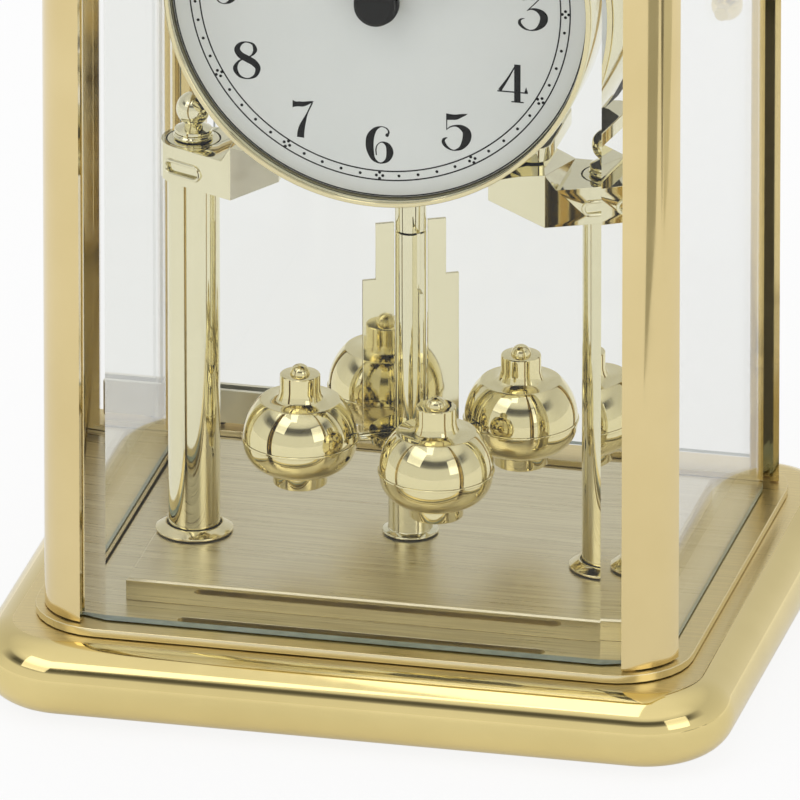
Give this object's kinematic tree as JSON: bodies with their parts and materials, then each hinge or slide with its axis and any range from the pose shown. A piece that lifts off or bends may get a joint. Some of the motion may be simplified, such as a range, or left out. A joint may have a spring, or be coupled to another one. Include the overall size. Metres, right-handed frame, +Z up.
{
  "type": "anniversary clock",
  "caption": "Glass-sided brass mantel clock with a round dial on pillars, a rear door, and a slowly turning ball pendulum that hangs below the dial.",
  "frame": {"origin": "on the table, under the middle of the base", "axes": "+Z up, the dial faces -Y, +X is the right side seen from the front"},
  "size_m": [0.152, 0.133, 0.2242],
  "materials": {
    "polished_brass": "polished and lacquered",
    "brushed_brass": "brushed and lacquered",
    "pale_brass": "pale mirror-polished plate",
    "clear_glass": "clear, with bevelled margins",
    "silvered_dial": "satin silver white with black print",
    "black_paint": "gloss black",
    "dark_plastic": "fine matte",
    "battery_jacket": "plain sleeve",
    "felt": "felt"
  },
  "bodies": {
    "case": {"base_moulding": "polished_brass", "base_cover": "brushed_brass", "felt_foot_1": "felt", "felt_foot_2": "felt", "felt_foot_3": "felt", "felt_foot_4": "felt", "step_frame_lower": "polished_brass", "step_frame_upper": "polished_brass", "floor_plate": "brushed_brass", "platform_block": "brushed_brass", "post_front_left": "polished_brass", "post_front_right": "polished_brass", "post_rear_left": "polished_brass", "post_rear_right": "polished_brass", "front_pane": "clear_glass", "left_pane": "clear_glass", "right_pane": "clear_glass", "top_moulding": "polished_brass", "pillar_left": "pale_brass", "pillar_right": "pale_brass", "pillar_flange_left": "pale_brass", "pillar_flange_right": "pale_brass", "finial_left": "pale_brass", "finial_right": "pale_brass", "bracket_left": "pale_brass", "bracket_right": "pale_brass", "movement_cradle": "pale_brass", "movement_drum": "pale_brass", "bezel": "pale_brass", "dial": "silvered_dial", "dial_nut": "pale_brass", "movement_housing": "dark_plastic", "battery_cell": "battery_jacket", "battery_cover": "dark_plastic", "pendulum_drive": "dark_plastic", "suspension_sleeve": "pale_brass", "guide_cup": "pale_brass"},
    "pendulum": {"pendulum_tube": "pale_brass", "pendulum_hub": "pale_brass", "fin_1": "pale_brass", "fin_2": "pale_brass", "fin_3": "pale_brass", "fin_4": "pale_brass", "ball_cap_1": "pale_brass", "ball_cap_2": "pale_brass", "ball_cap_3": "pale_brass", "ball_cap_4": "pale_brass", "ball_bowl_1": "pale_brass", "ball_bowl_2": "pale_brass", "ball_bowl_3": "pale_brass", "ball_bowl_4": "pale_brass"},
    "hour_hand": {"hour_hand": "black_paint"},
    "minute_hand": {"minute_hand": "black_paint"},
    "setting_knob": {"setting_knob": "dark_plastic"},
    "rear_door": {"door_pane": "clear_glass", "door_shoe_lower": "polished_brass", "door_shoe_upper": "polished_brass", "door_knob": "polished_brass"}
  },
  "joints": [
    {"name": "pendulum_turn", "type": "hinge", "parent": "case", "child": "pendulum", "pos_m": [0, -0.001, 0.05], "axis": [0, 0, 1], "range_deg": [-180, 180]},
    {"name": "minute_turn", "type": "hinge", "parent": "case", "child": "minute_hand", "pos_m": [0, -0.03, 0.1458], "axis": [0, 1, 0], "continuous": true},
    {"name": "hour_turn", "type": "hinge", "parent": "case", "child": "hour_hand", "pos_m": [0, -0.03, 0.1458], "axis": [0, 1, 0], "continuous": true},
    {"name": "setting_turn", "type": "hinge", "parent": "case", "child": "setting_knob", "pos_m": [0, 0.006, 0.1458], "axis": [0, 1, 0], "continuous": true},
    {"name": "door_swing", "type": "hinge", "parent": "case", "child": "rear_door", "pos_m": [-0.0514, 0.053, 0.1145], "axis": [0, 0, 1], "range_deg": [0, 90]}
  ],
  "couplings": [
    {"joint": "hour_turn", "follows": "minute_turn", "ratio": 0.083333},
    {"joint": "setting_turn", "follows": "minute_turn", "ratio": 1}
  ]
}
